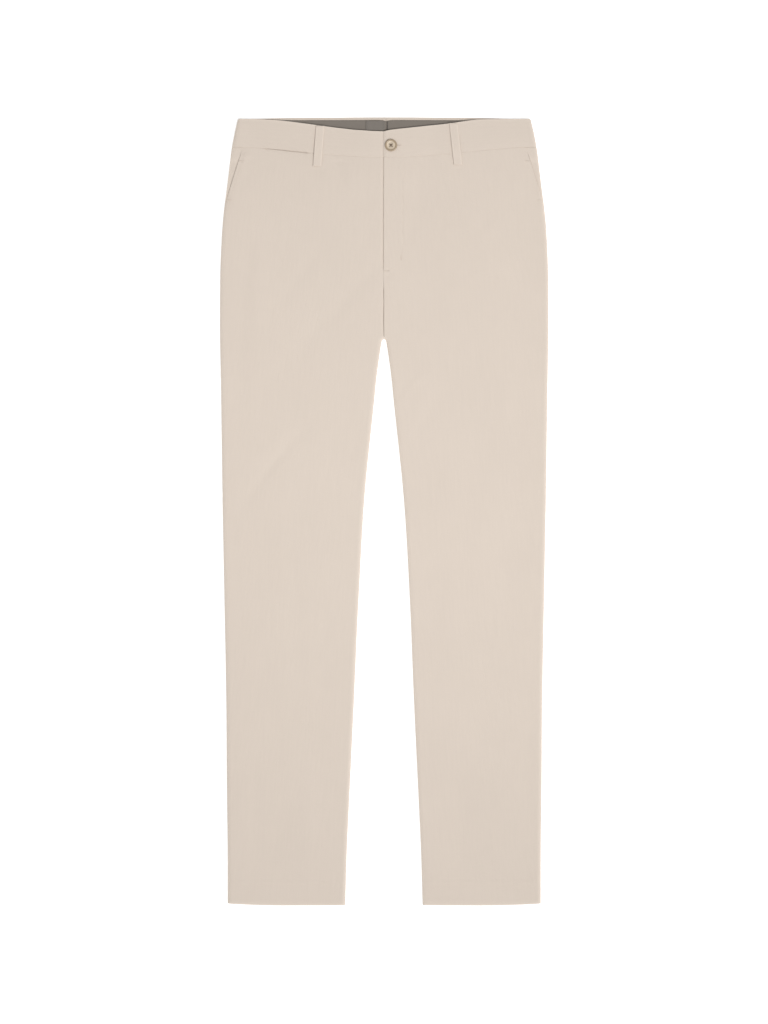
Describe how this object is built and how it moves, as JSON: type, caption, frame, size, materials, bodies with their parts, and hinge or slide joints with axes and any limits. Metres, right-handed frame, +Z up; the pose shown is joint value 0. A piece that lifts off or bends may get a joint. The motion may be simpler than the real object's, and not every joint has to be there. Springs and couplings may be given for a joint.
{
  "type": "corduroy trousers",
  "caption": "Straight corduroy trousers laid flat on their back, with a waistband, belt loops, a buttoned zip fly, slanted side pockets and a ticket pocket.",
  "frame": {"origin": "centre of the laid garment's box, on the surface that it lies on", "axes": "+X towards the wearer's left, +Y from the hems to the waist, +Z up from the surface, front of the garment facing up"},
  "size_m": [0.4695, 1.126, 0.0106],
  "materials": {
    "corduroy": "pale beige fine-wale cotton corduroy, soft short pile",
    "lining": "taupe-grey twill waistband lining",
    "patch": "bare grey woven patch",
    "zip_tape": "beige woven zip tape with a coil chain",
    "zip_metal": "antique brass",
    "button": "tan horn-effect resin, satin"
  },
  "bodies": {
    "root": {"back_right": "corduroy", "back_left": "corduroy", "front_right": "corduroy", "front_left": "corduroy", "waistband_right": "corduroy", "waistband_left": "corduroy", "facing_right": "lining", "facing_left": "lining", "inner_patch": "patch", "loop_front_right": "corduroy", "loop_front_left": "corduroy", "loop_back_right": "corduroy", "loop_back_left": "corduroy", "loop_back_centre": "corduroy", "pocket_facing_right": "corduroy", "pocket_facing_left": "corduroy", "ticket_pocket": "corduroy", "fly_shield": "corduroy", "zip_tape": "zip_tape", "zip_slider": "zip_metal", "button": "button"}
  },
  "joints": []
}
